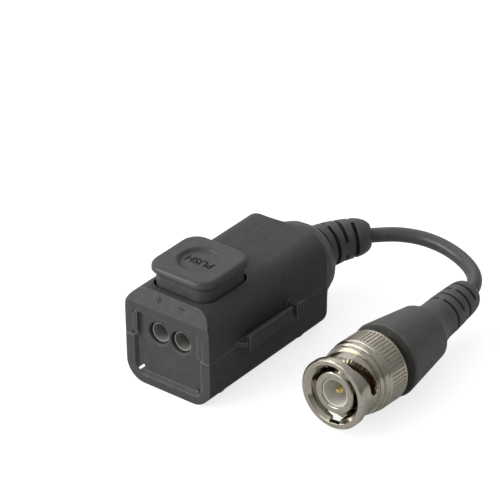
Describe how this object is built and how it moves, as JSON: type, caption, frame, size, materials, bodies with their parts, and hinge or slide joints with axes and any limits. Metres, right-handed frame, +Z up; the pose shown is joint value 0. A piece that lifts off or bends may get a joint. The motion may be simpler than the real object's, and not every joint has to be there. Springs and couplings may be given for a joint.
{
  "type": "cctv video balun",
  "caption": "Dark moulded video balun with push-button wire terminals, side rail, strain relief and a short coax lead ending in a bayonet plug.",
  "frame": {"origin": "middle of the housing's base", "axes": "+X toward the side with the rail and the plug, +Y from the wire entries toward the strain relief, +Z up through the button"},
  "size_m": [0.0476, 0.0607, 0.0232],
  "materials": {
    "shell": "satin",
    "button": "satin",
    "terminal": "matte",
    "boot": "matte",
    "cable": "satin",
    "nickel": "polished",
    "spring_steel": "satin",
    "gold": "polished",
    "copper": "satin",
    "dielectric": "satin",
    "seal": "matte",
    "board": "satin",
    "ferrite": "matte",
    "film": "gloss",
    "lacquer": "gloss",
    "disc": "gloss"
  },
  "bodies": {
    "housing": {"lower_shell": "shell", "upper_shell": "shell", "return_spring": "spring_steel", "terminal_block": "terminal", "clamp_spring_left": "spring_steel", "clamp_spring_right": "spring_steel", "contact_left": "gold", "contact_right": "gold", "circuit_board": "board", "toroid_core": "ferrite", "winding_near": "copper", "winding_far": "copper", "film_capacitor": "film", "resistor": "lacquer", "resistor_leads": "spring_steel", "surge_absorber": "disc", "disc_capacitor": "disc", "coax_tail": "cable", "coax_core": "dielectric", "core_wire": "copper", "braid_wire": "copper", "cable_boot": "boot", "plug_body": "nickel", "retaining_clip": "copper", "gasket": "seal", "wave_washer": "spring_steel", "outer_contact": "nickel", "insulator": "dielectric", "center_pin": "gold", "crimp_ferrule": "nickel", "plug_boot": "boot", "coax_cable": "cable"},
    "button": {"push_button": "button"},
    "ring": {"coupling_ring": "nickel"}
  },
  "joints": [
    {"name": "button_press", "type": "slide", "parent": "housing", "child": "button", "axis": [0, 0, -1], "range_m": [0, 0.002], "stiffness_N_per_m": 1200, "springref_m": -0.0008, "deforming": ["return_spring", "clamp_spring_left", "clamp_spring_right"]},
    {"name": "coupling_turn", "type": "hinge", "parent": "housing", "child": "ring", "pos_m": [0.0309, -0.01005, 0.00805], "axis": [0, 0.9986, -0.0523], "continuous": true}
  ]
}
